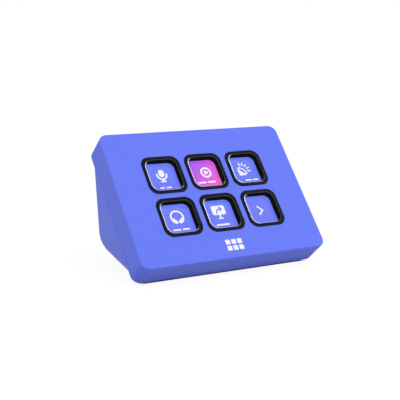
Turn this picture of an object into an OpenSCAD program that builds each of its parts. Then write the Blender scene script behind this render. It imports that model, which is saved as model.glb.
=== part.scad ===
// Macro keypad: six picture keys in a sloped face, on a tapered desk stand.
// Frame: millimetres, +Z up, -Y towards the user, origin at the middle of the footprint on the table.

/* [Form] */
// Width of the face
face_w = 84; // [80:0.5:96]
// Height of the face, measured along its slope
face_h = 60.4; // [58:0.2:70]
// Depth from the front edge to the back of the foot
body_d = 58.2; // [56:0.2:66]
// Slope of the face above the table, in degrees
tilt = 50; // [46:1:54]
// Corner radius of the face outline
corner_r = 3.6; // [3:0.1:6]
// Rounding of the outline's edges
edge_r = 0.5; // [0.3:0.1:1]
// Thickness of the cover, from its face to the seam
cover_t = 9.6; // [9.4:0.1:11]
// Thickness of the stand's back plate, behind the seam
back_t = 1.9; // [1.6:0.1:2.4]
// Wall thickness of the shells
wall_t = 2; // [1.6:0.1:2.2]
// How far the foot pad stands proud of the shells
pad_proud = 0.4; // [0.3:0.1:0.8]

/* [Keys] */
// Keys across
key_cols = 3; // [3:3]
// Keys up the slope
key_rows = 2; // [2:2]
// Distance between key centres
key_pitch = 19.3; // [19.2:0.1:19.6]
// Outer width of a key rim
rim_w = 16.8; // [16.4:0.1:17]
// Outer corner radius of a key rim
rim_r = 3.7; // [3:0.1:4.2]
// Width of the clear window in a key
window_w = 14.6; // [14:0.1:14.8]
// How far a rim stands proud of the face
rim_proud = 0.4; // [0.2:0.1:0.8]
// Key travel
travel = 0.9; // [0.6:0.1:0.9]

/* [Stand] */
// Radius of the two rear corners of the foot
heel_r = 12; // [8:0.5:12]
// Half distance between the centres of the rear corners
heel_x = 25.65; // [22:0.05:28]
// Radius of the two front corners of the foot
toe_r = 5.6; // [5:0.1:6]
// Half distance between the centres of the front corners
toe_x = 35.2; // [32:0.1:36]
// Radius of the stand's two top corners
brow_r = 4.7; // [4:0.1:5.5]
// Top of the stand above the middle of the face, along the slope
brow_v = 26; // [22:0.5:27]

/* [Hidden] */
$fn = 64;
eps = 0.01;
big = 200;
facets = 32;                             // sides of the wedge's corner spheres
reach = cos(180 / facets);               // their reach along an axis, over their radius
seam_r = 0.3;                            // rounding of the edges at the seam

// Depths below the face, measured along its normal.
skin_t = 1.8;                            // cover wall over the keys
flange_top = skin_t + 0.05;              // key flange resting behind the cover wall
flange_t = 0.8;
flange_bot = flange_top + flange_t;
dome_h = 1.3;
sheet_top = flange_bot + dome_h;         // silicone sheet
sheet_t = 0.4;
board_top = sheet_top + sheet_t;         // switch board
board_t = 0.6;
board_bot = board_top + board_t;
glass_top = board_bot + 0.2;             // picture panel
glass_t = 1.4;
light_top = glass_top + glass_t;         // back light
light_t = 1.2;
tray_top = light_top + light_t;          // floor of the panel carrier
tray_t = 0.6;
tray_bot = tray_top + tray_t;
slab_t = cover_t + back_t;

// Key parts, as full widths.
slot_gap = 0.2;
slot_w = rim_w + 2 * slot_gap;           // opening in the cover
slot_r = rim_r + slot_gap;
rim_chamfer = 0.35;
window_r = 3.3;
window_top = 0.1 - rim_proud;            // the window's edge ends a little below the rim's
window_dish = 0.35;
window_foot = 0.5;                       // thickness of the window's foot
window_bot = glass_top - travel - 0.2;
tube_w = window_w + 1.1;                 // lower part of the rim, round the window
flange_w = key_pitch - 0.9;
flange_r = rim_r + 0.6;
sheet_hole_w = tube_w + 0.5;
sheet_hole_r = window_r + 0.8;
rib_t = 0.45;                            // ribs of the guide, between the flanges

// Inner parts, as full sizes.
grid_w = key_pitch * key_cols;
grid_h = key_pitch * key_rows;
guide_w = grid_w + 4;
guide_h = grid_h + 4;
guide_r = 2.5;
fence_gap = 0.2;                         // fence of the cover, round the guide and the sheet
fence_t = 1.2;
panel_w = grid_w + 2;
panel_h = grid_h + 2;
board_w = 75;
board_h = 46;
stack_x = 34.5;                          // screws that hold the board and the carrier
stack_v = 19;
boss_d = 4.6;
screw_d = 2;
pilot_d = screw_d + 0.1;
head_d = 4;
head_t = 1.2;

// Where the face and the corners of the stand are.
face_y = -body_d / 2 + (face_h / 2 - edge_r) * cos(tilt) - edge_r * sin(tilt) + edge_r;
face_z = pad_proud + face_h / 2 * sin(tilt) + slab_t * cos(tilt);
base_z = 0.8;                            // underside of the stand's floor
heel_y = body_d / 2 - heel_r * reach;
heel_z = base_z + heel_r * reach;
toe_z = base_z + toe_r * reach;
toe_v = (toe_z - face_z + slab_t * cos(tilt)) / sin(tilt);
toe_y = face_y + toe_v * cos(tilt) + slab_t * sin(tilt);

// Base and main board.
hatch_front = [30.5, -13.6];             // half width and y of the base opening's front
hatch_rear = [23, 14.8];
hatch_r = 3;
hatch_gap = 0.15;
plate_t = 2;
plate_top = base_z + plate_t;
post_front = [26.4, -9.6];               // base screw posts, as half distance and y
post_rear = [19.4, 11.2];
post_d = 7;
post_top = 9.2;
post_rib = [7, 1.4, 7];                  // reach, thickness and top of a post's ribs
socket_z = heel_z;                       // middle of the cord socket
socket_w = 8.9;
socket_h = 3.2;
socket_len = 7.3;
socket_wall = 0.3;
main_top = socket_z - socket_h / 2 - 0.05;
main_t = 1.2;
main_bot = main_top - main_t;
main_w = 40;
main_front = -5;
main_back = 25;
main_post = [13, -1, 11.5];              // x, front y and rear y of the board's posts
mouth_y = body_d / 2 - 0.4;
lip_gap = 0.2;                           // lip of the stand, inside the cover's walls
lip_t = 0.8;
lip_h = 1.2;
snap_x = 20;                             // clips that hold the cover to the stand
snap_w = 8;
snap_t = 1.2;
snap_v = face_h / 2 - wall_t - lip_gap;  // outer side of a clip's arm
snap_top = 6.1;                          // depth of its tip
snap_flat = 7.2;                         // depth of its catch
snap_catch = 0.6;                        // how far the catch reaches into the cover's wall

// Flat cable: straight out of the tray, then one bend onto the main board.
cable_v = -17;
cable_t = 0.25;
cable_w = 12;
cable_bend = 3;
cable_start = [
    face_y + cable_v * cos(tilt) + tray_top * sin(tilt),
    face_z + cable_v * sin(tilt) - tray_top * cos(tilt)
];
cable_end_z = main_top + 0.75;
cable_down = (cable_start[1] - cable_end_z - cable_bend * (1 - sin(tilt))) / cos(tilt);
bend_y = cable_start[0] + cable_down * sin(tilt) + cable_bend * cos(tilt);

// ---- Shapes ----

// Places its children in the face's frame: x across, y up the slope, z out of the face.
module on_face() {
    translate([0, face_y, face_z]) rotate([tilt, 0, 0]) children();
}

// Rectangle with round corners, centred.
module rounded(w, h, r) {
    square([w - 2 * r, h], center = true);
    square([w, h - 2 * r], center = true);
    for (x = [-1, 1], y = [-1, 1])
        translate([x * (w / 2 - r), y * (h / 2 - r)]) circle(r);
}

// Plate with round corners between two depths below the face.
module layer(w, h, r, top, bottom) {
    translate([0, 0, -bottom]) linear_extrude(bottom - top) rounded(w, h, r);
}

// Half section of a plate whose top and bottom edges are rounded; it reaches x = reach.
module edge_section(reach, t, r_top, r_bottom) {
    translate([0, -t]) square([reach - max(r_top, r_bottom), t]);
    translate([0, r_bottom - t]) square([reach, t - r_top - r_bottom]);
    translate([reach - r_top, -r_top]) circle(r_top);
    translate([reach - r_bottom, r_bottom - t]) circle(r_bottom);
    if (r_top > r_bottom) translate([0, -t]) square([reach - r_bottom, t - r_top]);
    if (r_bottom > r_top) translate([0, r_bottom - t]) square([reach - r_top, t - r_bottom]);
}

// Plate with round corners and rounded top and bottom edges, its top at z = 0.
module soft_plate(w, h, r, t, r_top, r_bottom) {
    for (side = [0, 1]) {
        long = side == 0 ? w : h;
        short = side == 0 ? h : w;
        rotate([0, 0, 90 * side]) rotate([90, 0, 90])
            translate([0, 0, r - long / 2]) linear_extrude(long - 2 * r) {
                edge_section(short / 2, t, r_top, r_bottom);
                mirror([1, 0]) edge_section(short / 2, t, r_top, r_bottom);
            }
    }
    for (x = [-1, 1], y = [-1, 1])
        translate([x * (w / 2 - r), y * (h / 2 - r), 0])
            rotate_extrude() edge_section(r, t, r_top, r_bottom);
}

// Centre of key number n, counted from the top left.
function key_at(n) = [
    ((n - 1) % key_cols - (key_cols - 1) / 2) * key_pitch,
    ((key_rows - 1) / 2 - floor((n - 1) / key_cols)) * key_pitch
];

// Repeats its children at every key.
module at_keys() {
    for (n = [1 : key_cols * key_rows]) translate(key_at(n)) children();
}

// Repeats its children at the four screws of the key stack.
module at_stack_screws() {
    for (x = [-1, 1], y = [-1, 1]) translate([x * stack_x, y * stack_v]) children();
}

// Repeats its children at the four base screws.
module at_base_screws() {
    for (x = [-1, 1], p = [post_front, post_rear]) translate([x * p[0], p[1]]) children();
}

// Repeats its children at the four posts of the main board.
module at_main_posts() {
    for (x = [-1, 1], y = [main_post[1], main_post[2]]) translate([x * main_post[0], y]) children();
}

// Repeats its children at the four clips, turned so that +y points outwards.
module at_snaps() {
    for (x = [-1, 1], y = [0, 1]) mirror([0, y]) translate([x * snap_x, 0]) children();
}

// Pan head screw that points along +z, its head below z = 0.
module screw(len) {
    cylinder(d = screw_d, h = len);
    translate([0, 0, -head_t]) difference() {
        cylinder(d = head_d, h = head_t);
        for (a = [0, 90]) rotate([0, 0, a])
            translate([0, 0, 0.4]) cube([2.4, 0.5, 1], center = true);
    }
}

// ---- Key field ----

// Fence behind the cover that locates the guide and the silicone sheet.
module stack_fence() {
    grow = 2 * (fence_gap + fence_t);
    difference() {
        layer(guide_w + grow, guide_h + grow, guide_r + grow / 2, skin_t - eps, sheet_top);
        layer(guide_w + 2 * fence_gap, guide_h + 2 * fence_gap, guide_r + fence_gap,
              skin_t - 1, sheet_top + 1);
    }
}

// Screw bosses of the cover, each tied to the side wall by a rib.
module stack_bosses() {
    rib_len = face_w / 2 - wall_t - stack_x + eps;
    at_stack_screws() translate([0, 0, -board_top])
        cylinder(d = boss_d, h = board_top - skin_t + eps);
    for (x = [-1, 1], y = [-1, 1])
        translate([x > 0 ? stack_x : -stack_x - rib_len, y * stack_v - fence_t / 2, -sheet_top])
            cube([rib_len, fence_t, sheet_top - skin_t + eps]);
}

module front_cover() {
    color("#6e82ff") on_face() difference() {
        union() {
            difference() {
                soft_plate(face_w, face_h, corner_r, cover_t, edge_r, seam_r);
                layer(face_w - 2 * wall_t, face_h - 2 * wall_t, corner_r - wall_t / 2,
                      skin_t, cover_t + 1);
            }
            stack_fence();
            stack_bosses();
        }
        at_keys() translate([0, 0, -skin_t - 1]) linear_extrude(skin_t + 2)
            rounded(slot_w, slot_w, slot_r);
        at_stack_screws() translate([0, 0, -board_top - 1])
            cylinder(d = pilot_d, h = board_top - 0.6);
        at_snaps() translate([-snap_w / 2 - 0.5, snap_v - 0.5, -snap_flat - 0.2])
            cube([snap_w + 1, snap_catch + 0.8, snap_flat - snap_top + 0.3]);
    }
}

// Grid between the key flanges, which keeps the keys square.
module key_guide() {
    color("#16181c") on_face() difference() {
        layer(guide_w, guide_h, guide_r, skin_t, sheet_top);
        at_keys() layer(key_pitch - rib_t, key_pitch - rib_t, flange_r + 0.1, skin_t - 1, sheet_top + 1);
    }
}

// Black frame of one key: rim, sliding tube and the flange that stops it behind the cover.
module key_rim(n) {
    color("#121318") on_face() translate(key_at(n)) difference() {
        union() {
            translate([0, 0, rim_proud])
                soft_plate(rim_w, rim_w, rim_r, rim_proud + flange_bot, rim_chamfer, 0.05);
            layer(flange_w, flange_w, flange_r, flange_top, flange_bot);
            layer(tube_w, tube_w, window_r + 0.5, flange_bot - eps, window_bot - window_foot);
        }
        translate([0, 0, -window_bot]) linear_extrude(window_bot + rim_proud + 1)
            rounded(window_w, window_w, window_r);
    }
}

// Clear block of one key, dished on top, with a foot that seats under the rim's tube.
module key_window(n) {
    dish_r = 90;
    color([0.8, 0.86, 1, 0.4]) on_face() translate(key_at(n)) difference() {
        union() {
            layer(window_w - 0.1, window_w - 0.1, window_r - 0.05, window_top, window_bot);
            layer(tube_w - 0.1, tube_w - 0.1, window_r + 0.45, window_bot - window_foot, window_bot);
        }
        translate([0, 0, dish_r - window_top - window_dish]) sphere(r = dish_r, $fn = 128);
    }
}

module silicone_sheet() {
    color("#3a3d44") on_face() difference() {
        layer(guide_w, guide_h, guide_r, sheet_top, board_top);
        at_keys() {
            layer(sheet_hole_w, sheet_hole_w, sheet_hole_r, sheet_top - 1, board_top + 1);
            for (x = [-1, 1]) translate([x * (flange_w / 2 - 0.35) - 0.35, -1.7, -board_top - 1])
                cube([0.7, 3.4, sheet_t + 2]);
        }
    }
}

// Square collapsing ring under one key, which pushes it back up.
module key_dome(n) {
    wall = 0.3;
    mid = flange_w / 2 - 0.35;
    color("#50545c") on_face() translate(key_at(n)) for (step = [
        [sheet_top, 0.3, 0.35],
        [sheet_top - 0.25, dome_h - 0.4, wall / 2],
        [flange_bot + 0.2, 0.2, 0.3]
    ]) translate([0, 0, -step[0]]) linear_extrude(step[1]) difference() {
        rounded(2 * (mid + step[2]), 2 * (mid + step[2]), flange_r - 0.35 + step[2]);
        rounded(2 * (mid - step[2]), 2 * (mid - step[2]), flange_r - 0.35 - step[2]);
    }
}

module switch_board() {
    color("#1f5a3c") on_face() difference() {
        layer(board_w, board_h, 2, board_top, board_bot);
        at_keys() layer(sheet_hole_w, sheet_hole_w, sheet_hole_r, board_top - 1, board_bot + 1);
        at_stack_screws() translate([0, 0, -board_bot - 1]) cylinder(d = pilot_d + 0.3, h = board_t + 2);
    }
}

// Two gold contacts beside every key, in the sheet's slots.
module contact_pads() {
    color("#d8b45a") on_face() at_keys() for (x = [-1, 1])
        translate([x * (flange_w / 2 - 0.35) - 0.25, -1.5, -board_top]) cube([0.5, 3, 0.1]);
}

// ---- Picture panel ----

module picture_panel() {
    color("#2a3054") on_face() layer(panel_w, panel_h, 0.8, glass_top, light_top);
}

module back_light() {
    color("#e8ecf4") on_face() layer(panel_w - 1, panel_h - 1, 0.8, light_top, tray_top);
}

// Pressed metal tray that holds the panel against the board.
module panel_carrier() {
    tray_wall = 0.6;
    ear_w = 7;
    color("#a7abb2") on_face() difference() {
        union() {
            layer(panel_w + 2 * tray_wall + 0.4, panel_h + 2 * tray_wall + 0.4, 1.4, board_bot, tray_bot);
            for (y = [-1, 1])
                translate([-stack_x - ear_w / 2, y * stack_v - ear_w / 2, -board_bot - tray_wall])
                    cube([2 * stack_x + ear_w, ear_w, tray_wall]);
        }
        layer(panel_w + 0.4, panel_h + 0.4, 1, board_bot - 1, tray_top);
        at_stack_screws() translate([0, 0, -tray_bot - 1]) cylinder(d = pilot_d + 0.3, h = tray_bot);
        translate([-7, cable_v - 0.8, -tray_bot - 1]) cube([14, 1.6, tray_t + 2]);
        for (x = [-2 : 2]) translate([x * 11, 3, -tray_bot - 1]) cylinder(d = 6, h = tray_t + 2);
    }
}

// Flat cable from the panel, through the tray's slot and onto the main board.
module panel_cable() {
    color("#b8863a") translate([-cable_w / 2, 0, 0]) rotate([90, 0, 90]) linear_extrude(cable_w) {
        translate(cable_start) rotate(tilt - 90)
            translate([0, -cable_t / 2]) square([cable_down + eps, cable_t]);
        translate([bend_y, cable_end_z + cable_bend]) intersection() {
            difference() {
                circle(cable_bend + cable_t / 2);
                circle(cable_bend - cable_t / 2);
            }
            polygon([[0, 0], [0, -9], [-9 * cos(tilt), -9], [-9 * cos(tilt), -9 * sin(tilt)]]);
        }
        translate([bend_y - eps, cable_end_z - cable_t / 2])
            square([main_front + 1.4 - bend_y, cable_t]);
    }
}

// ---- Stand ----

// Body of the stand: a wedge between three pairs of round corners, drawn in by a wall thickness.
module wedge(inset) {
    hull() for (x = [-1, 1]) {
        translate([x * toe_x, toe_y, toe_z]) sphere(toe_r - inset, $fn = facets);
        translate([x * heel_x, heel_y, heel_z]) sphere(heel_r - inset, $fn = facets);
        on_face() translate([x * (face_w / 2 - 0.3 - brow_r), brow_v - brow_r, -slab_t])
            sphere(brow_r - inset, $fn = facets);
    }
}

// Posts for the base screws, each tied to the floor of the shell by two ribs.
module base_posts() {
    foot = base_z + 0.2;
    for (x = [-1, 1], p = [post_front, post_rear]) translate([x * p[0], p[1], foot]) {
        cylinder(d = post_d, h = post_top - foot);
        translate([x > 0 ? 0 : -post_rib[0], -post_rib[1] / 2, 0])
            cube([post_rib[0], post_rib[1], post_rib[2] - foot]);
        translate([-post_rib[1] / 2, p[1] > 0 ? 0 : -post_rib[0], 0])
            cube([post_rib[1], post_rib[0], post_rib[2] - foot]);
    }
}

// Lip round the stand's front that enters the cover.
module seam_lip() {
    w = face_w - 2 * (wall_t + lip_gap);
    h = face_h - 2 * (wall_t + lip_gap);
    r = corner_r - wall_t / 2 - lip_gap;
    difference() {
        layer(w, h, r, cover_t - lip_h, cover_t + eps);
        layer(w - 2 * lip_t, h - 2 * lip_t, r - lip_t, cover_t - lip_h - 1, cover_t + 1);
    }
}

// Clip that snaps into the cover's wall: an arm with a sloping tip above a flat catch.
module snap_clip() {
    tip = 0.7;
    translate([-snap_w / 2, 0, 0]) rotate([90, 0, 90]) linear_extrude(snap_w) polygon([
        [snap_v - snap_t, -cover_t - eps],
        [snap_v, -cover_t - eps],
        [snap_v, -snap_flat],
        [snap_v + snap_catch, -snap_flat],
        [snap_v + snap_catch, -snap_flat + 0.3],
        [snap_v - snap_t + tip, -snap_top],
        [snap_v - snap_t, -snap_top]
    ]);
}

// Outline of the opening under the stand, grown by a margin.
module hatch(margin) {
    r = hatch_r + margin;
    for (x = [-1, 1], p = [hatch_front, hatch_rear])
        translate([x * (p[0] - hatch_r), p[1] - sign(p[1]) * hatch_r]) circle(r);
    lean = atan((hatch_front[0] - hatch_rear[0]) / (hatch_rear[1] - hatch_front[1] - 2 * hatch_r));
    front = hatch_front[1] + hatch_r;
    rear = hatch_rear[1] - hatch_r;
    polygon([
        [-hatch_front[0] + hatch_r - r * cos(lean), front + r * sin(lean)],
        [hatch_front[0] - hatch_r + r * cos(lean), front + r * sin(lean)],
        [hatch_rear[0] - hatch_r + r * cos(lean), rear + r * sin(lean)],
        [-hatch_rear[0] + hatch_r - r * cos(lean), rear + r * sin(lean)]
    ]);
    translate([-hatch_front[0] + hatch_r, front - r])
        square([2 * (hatch_front[0] - hatch_r), 2 * r]);
    translate([-hatch_rear[0] + hatch_r, rear]) square([2 * (hatch_rear[0] - hatch_r), r]);
}

module stand() {
    color("#6a7cf0") difference() {
        union() {
            difference() {
                union() {
                    on_face() translate([0, 0, -cover_t])
                        soft_plate(face_w, face_h, corner_r, back_t, seam_r, seam_r);
                    intersection() {
                        wedge(0);
                        on_face() translate([-big / 2, -big / 2, -big - cover_t - 0.3]) cube(big);
                    }
                }
                wedge(wall_t);
            }
            intersection() {
                base_posts();
                wedge(wall_t / 2);
            }
            on_face() {
                seam_lip();
                at_snaps() snap_clip();
            }
        }
        translate([0, 0, -1]) linear_extrude(plate_top + 1.05) hatch(0);
        at_base_screws() cylinder(d = pilot_d, h = post_top - 1);
        translate([0, heel_y + 2, socket_z]) rotate([-90, 0, 0])
            linear_extrude(big) rounded(socket_w + 0.5, socket_h + 0.5, socket_h / 2 + 0.2);
    }
}

module base_plate() {
    color("#24262b") difference() {
        union() {
            translate([0, 0, base_z]) linear_extrude(plate_t) hatch(-hatch_gap);
            at_main_posts() translate([0, 0, base_z]) cylinder(d = 4.6, h = main_bot - base_z);
            for (y = [main_post[1], main_post[2]]) translate([-main_post[0], y - 0.6, base_z])
                cube([2 * main_post[0], 1.2, plate_t + 2]);
        }
        at_main_posts() translate([0, 0, plate_top]) cylinder(d = pilot_d, h = main_bot);
        at_base_screws() {
            cylinder(d = pilot_d + 0.4, h = big);
            cylinder(d = head_d + 0.5, h = base_z + head_t + 0.05);
        }
    }
}

// Rubber pad under the base, with rows of shallow grooves.
module foot_pad() {
    groove = 0.25;
    color("#1b1c20") difference() {
        linear_extrude(base_z) hatch(1.2);
        for (y = [-10 : 4 : 10]) translate([-20, y - 0.4, -eps]) cube([40, 0.8, groove + eps]);
    }
}

// ---- Electronics in the stand ----

module main_board() {
    color("#1f5a3c") difference() {
        translate([-main_w / 2, main_front, main_bot]) cube([main_w, main_back - main_front, main_t]);
        at_main_posts() translate([0, 0, main_bot - 1]) cylinder(d = pilot_d + 0.3, h = main_t + 2);
    }
}

module board_chips() {
    color("#101114") {
        translate([-4, 3, main_top]) cube([8, 8, 0.9]);
        translate([-11, 5, main_top]) cube([5, 4, 0.8]);
        translate([7.5, 2.5, main_top]) cube([3.2, 2.5, 1]);
        translate([-cable_w / 2 - 0.8, main_front + 0.2, main_top]) cube([cable_w + 1.6, 3, 0.6]);
    }
}

// Metal shell of the cord socket.
module cord_socket() {
    color("#c3c6cc") translate([0, mouth_y, socket_z]) rotate([90, 0, 0]) difference() {
        linear_extrude(socket_len) rounded(socket_w, socket_h, socket_h / 2 - 0.05);
        translate([0, 0, -1]) linear_extrude(socket_len + 0.4)
            rounded(socket_w - 2 * socket_wall, socket_h - 2 * socket_wall,
                    socket_h / 2 - socket_wall - 0.05);
    }
}

module socket_tongue() {
    color("#15161a") translate([-3.35, mouth_y - socket_len + 0.6, socket_z - 0.35]) cube([6.7, 5.2, 0.7]);
}

// ---- Fasteners ----

module stack_screws() {
    color("#9a9da3") on_face() at_stack_screws()
        translate([0, 0, -board_bot - 0.6]) screw(3.6);
}

module base_screws() {
    color("#9a9da3") at_base_screws() translate([0, 0, base_z + head_t + 0.05]) screw(5.4);
}

module board_screws() {
    color("#9a9da3") at_main_posts() translate([0, 0, main_top]) rotate([180, 0, 0]) screw(5);
}

front_cover();
key_guide();
key_rim(1);  // key_rim_1
key_rim(2);  // key_rim_2
key_rim(3);  // key_rim_3
key_rim(4);  // key_rim_4
key_rim(5);  // key_rim_5
key_rim(6);  // key_rim_6
key_window(1);  // key_window_1
key_window(2);  // key_window_2
key_window(3);  // key_window_3
key_window(4);  // key_window_4
key_window(5);  // key_window_5
key_window(6);  // key_window_6
key_dome(1);  // key_dome_1
key_dome(2);  // key_dome_2
key_dome(3);  // key_dome_3
key_dome(4);  // key_dome_4
key_dome(5);  // key_dome_5
key_dome(6);  // key_dome_6
silicone_sheet();
switch_board();
contact_pads();
picture_panel();
back_light();
panel_carrier();
panel_cable();
stand();
base_plate();
foot_pad();
main_board();
board_chips();
cord_socket();
socket_tongue();
stack_screws();
base_screws();
board_screws();
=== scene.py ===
import logging
import math
from collections.abc import Callable
from dataclasses import dataclass, field
from enum import Enum
from functools import cache, reduce

import bpy
import numpy as np
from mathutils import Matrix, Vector


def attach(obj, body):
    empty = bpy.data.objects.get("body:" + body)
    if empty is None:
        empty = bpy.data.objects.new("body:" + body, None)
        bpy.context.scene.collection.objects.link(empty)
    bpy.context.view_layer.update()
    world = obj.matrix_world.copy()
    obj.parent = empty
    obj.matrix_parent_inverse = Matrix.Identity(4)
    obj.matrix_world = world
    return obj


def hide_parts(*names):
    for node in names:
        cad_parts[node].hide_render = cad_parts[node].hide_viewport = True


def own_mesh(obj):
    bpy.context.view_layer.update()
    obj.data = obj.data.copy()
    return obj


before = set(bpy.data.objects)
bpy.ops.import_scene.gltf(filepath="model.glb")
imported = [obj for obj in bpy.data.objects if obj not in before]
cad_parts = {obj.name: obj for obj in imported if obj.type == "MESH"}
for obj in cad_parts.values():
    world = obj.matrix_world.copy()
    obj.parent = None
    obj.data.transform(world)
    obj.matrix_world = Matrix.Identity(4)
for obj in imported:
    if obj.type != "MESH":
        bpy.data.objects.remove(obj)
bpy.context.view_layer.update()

LOG = logging.getLogger("keypad")
MM = 0.001
INK = 0.02  # thickness of a print, in millimetres
TINY = 1e-6  # half width of an outline that stands for a point, in millimetres
WELD = 1e-5  # step to which points are rounded before equal ones are merged, in millimetres
KEY_COLUMNS = 3
KEY_ROWS = 2
KEY_NUMBERS = range(1, KEY_COLUMNS * KEY_ROWS + 1)

Array = np.ndarray
Pair = tuple[float, float]
Triple = tuple[float, float, float]
Node = bpy.types.Node
Socket = bpy.types.NodeSocket
Material = bpy.types.Material


# ---- The face's frame ----


@dataclass(frozen=True)
class SlopedFace:
    """The sloped face's frame in millimetres: u across, v up the slope, n out of the face."""

    middle_y: float = -9.892227
    middle_z: float = 30.926598
    tilt: float = math.radians(50.0)
    key_pitch: float = 19.3

    def place(self, points: Array) -> Array:
        """Turns points of the face's frame into metres in the part's frame.

        Args:
            points: rows of (u, v, n) in millimetres.

        Returns:
            Rows of (x, y, z) in metres: the middle of the face, plus u along X, plus v up the
            slope, plus n along the face's normal.
        """
        c, s = math.cos(self.tilt), math.sin(self.tilt)
        u, v, n = points[:, 0], points[:, 1], points[:, 2]
        world = np.stack([u, self.middle_y + v * c - n * s, self.middle_z + v * s + n * c], axis=1)
        return world * MM

    def direction(self, u: float, v: float, n: float) -> Triple:
        """The direction (u, v, n) of the face's frame in the part's frame."""
        c, s = math.cos(self.tilt), math.sin(self.tilt)
        return (u, v * c - n * s, v * s + n * c)

    def spot(self, u: float, v: float, n: float) -> Triple:
        """The point (u, v, n) of the face's frame, in metres of the part's frame."""
        return tuple(self.place(np.array([[u, v, n]]))[0].tolist())

    def key_middle(self, number: int) -> Pair:
        """Middle of a key on the face.

        Args:
            number: the key's number, counted from the top left.

        Returns:
            Its (u, v) in millimetres.
        """
        row, column = divmod(number - 1, KEY_COLUMNS)
        u = (column - (KEY_COLUMNS - 1) / 2) * self.key_pitch
        v = ((KEY_ROWS - 1) / 2 - row) * self.key_pitch
        return u, v


FACE = SlopedFace()


# ---- Meshes from arrays ----


@dataclass
class Surface:
    """Vertices and quads or triangles, with one material number for each face."""

    points: Array
    faces: list[list[int]]
    marks: list[int] = field(default_factory=list)

    def all_marks(self) -> list[int]:
        """One material number for each face."""
        return self.marks or [0] * len(self.faces)

    def moved(self, *offset: float) -> "Surface":
        """The surface moved by (u, v, n)."""
        return Surface(self.points + np.array(offset), self.faces, self.marks)


def merged(parts: list[Surface]) -> Surface:
    """Several surfaces as one.

    Args:
        parts: the surfaces, whose faces are counted on from the points of those before.

    Returns:
        The surface of them all.
    """
    starts = np.cumsum([0] + [len(part.points) for part in parts]).tolist()
    faces = [[start + i for i in face]
             for start, part in zip(starts, parts) for face in part.faces]
    marks = [mark for part in parts for mark in part.all_marks()]
    return Surface(np.vstack([part.points for part in parts]), faces, marks)


def welded(points: Array, faces: Array, marks: Array | None = None) -> Surface:
    """Merges points that are equal when rounded, and drops the faces that vanish by it.

    Args:
        points: rows of coordinates.
        faces: rows of four point numbers.
        marks: a material number for each row of faces.

    Returns:
        The surface, where a quad with a side of no length is a triangle.
    """
    keys = np.round(points / WELD).astype(np.int64)
    _, first, back = np.unique(keys, axis=0, return_index=True, return_inverse=True)
    back = back.reshape(-1)
    marks = np.zeros(len(faces), int) if marks is None else marks
    kept, kept_marks = [], []
    for row, mark in zip(back[faces].tolist(), marks.tolist()):
        ring = [p for i, p in enumerate(row) if p != row[i - 1]]
        if len(set(ring)) >= 3 and len(set(ring)) == len(ring):
            kept.append(ring)
            kept_marks.append(mark)
    return Surface(points[first], kept, kept_marks)


def grid_faces(rows: int, columns: int, closed_rows: bool, closed_columns: bool) -> Array:
    """Point numbers of the quads between neighbours of a grid of points.

    Args:
        rows: number of rows of points.
        columns: number of points in a row.
        closed_rows: whether the last row meets the first.
        closed_columns: whether the last point of a row meets its first.

    Returns:
        One row of four point numbers for each quad.
    """
    r = np.arange(rows if closed_rows else rows - 1)
    c = np.arange(columns if closed_columns else columns - 1)
    r, c = (a.ravel() for a in np.meshgrid(r, c, indexing="ij"))
    r2, c2 = (r + 1) % rows, (c + 1) % columns
    corners = [r * columns + c, r * columns + c2, r2 * columns + c2, r2 * columns + c]
    return np.stack(corners, axis=1)


def unit(rows: Array) -> Array:
    """Each row divided by its own length."""
    return rows / np.linalg.norm(rows, axis=1)[:, None]


def square_outline(half: Array | list[float], radius: Array | list[float]) -> Array:
    """Outlines of squares with round corners, all with the same number of points.

    Each outline goes round counter-clockwise. A quarter is a straight side, cut into equal
    steps, and then a quarter circle about (half - radius, half - radius); the other quarters are
    that one turned by 90, 180 and 270 degrees.

    Args:
        half: half width of each outline.
        radius: corner radius of each outline.

    Returns:
        An array of outlines by points by (u, v).
    """
    side_steps, corner_steps = 6, 10
    half, radius = np.asarray(half, float)[:, None], np.asarray(radius, float)[:, None]
    flat = half - radius
    along = np.linspace(-1, 1, side_steps + 1)[None, :-1]
    turn = np.linspace(0, np.pi / 2, corner_steps + 1)[None, :-1]
    u = np.hstack([half * np.ones_like(along), flat + radius * np.cos(turn)])
    v = np.hstack([flat * along, flat + radius * np.sin(turn)])
    quarters = [np.stack(q, axis=2) for q in ((u, v), (-v, u), (-u, -v), (v, -u))]
    return np.concatenate(quarters, axis=1)


def turned_block(profile: Array, middle: Pair, marks: Array | None = None,
                 closed: bool = False) -> Surface:
    """A body whose section is carried round a square with round corners.

    Args:
        profile: rows of (half width, corner radius, height), from the top's middle over the
            edge to the underside's middle, or round a closed section.
        middle: (u, v) of the body's middle.
        marks: a material number for each step of the profile.
        closed: whether the section closes on itself, as in a ring.

    Returns:
        The closed surface in the face's frame, in millimetres.
    """
    outline = square_outline(profile[:, 0], profile[:, 1])
    count, around = outline.shape[:2]
    height = np.repeat(profile[:, 2][:, None], around, axis=1)
    points = np.dstack([outline[..., 0] + middle[0], outline[..., 1] + middle[1], height])
    faces = grid_faces(count, around, closed, True)
    steps = count if closed else count - 1
    step_marks = np.zeros(steps, int) if marks is None else marks
    return welded(points.reshape(-1, 3), faces[:, ::-1], np.repeat(step_marks, around))


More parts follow.
